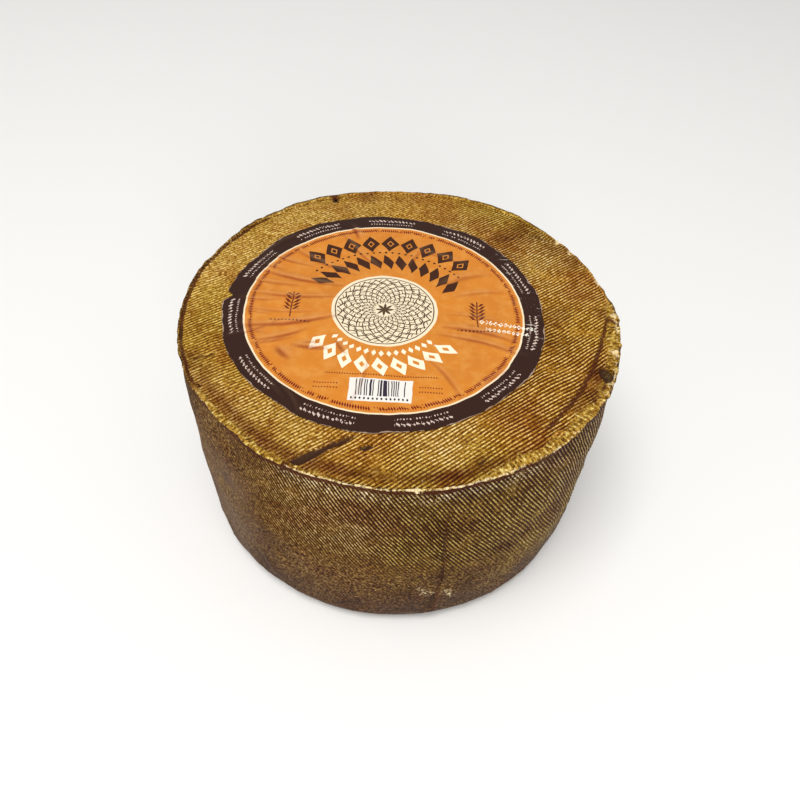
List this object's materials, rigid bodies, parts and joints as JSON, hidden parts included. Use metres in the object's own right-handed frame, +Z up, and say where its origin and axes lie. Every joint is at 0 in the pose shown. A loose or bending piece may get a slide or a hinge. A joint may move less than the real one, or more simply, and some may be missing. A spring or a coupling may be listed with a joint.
{
  "type": "aged sheep cheese wheel",
  "caption": "Whole pressed wheel of aged sheep's-milk cheese with a cloth-marked olive brown rind, a thin rolled lip and a round paper label on its flat top.",
  "frame": {"origin": "centre of the wheel's foot, on the surface that it stands on", "axes": "+Z up through the middle of the wheel to its labelled top, -Y towards the front of the picture, +X to the right"},
  "size_m": [0.1908, 0.1892, 0.1077],
  "materials": {
    "rind": "oiled natural rind, olive gold on top and darker brown down the side, pressed all over with a fine twill cloth pattern",
    "label_paper": "printed paper, orange field inside a cream line and a dark brown band, wrinkled and slightly glossy"
  },
  "bodies": {
    "root": {"cheese_wheel": "rind", "label": "label_paper"}
  },
  "joints": []
}
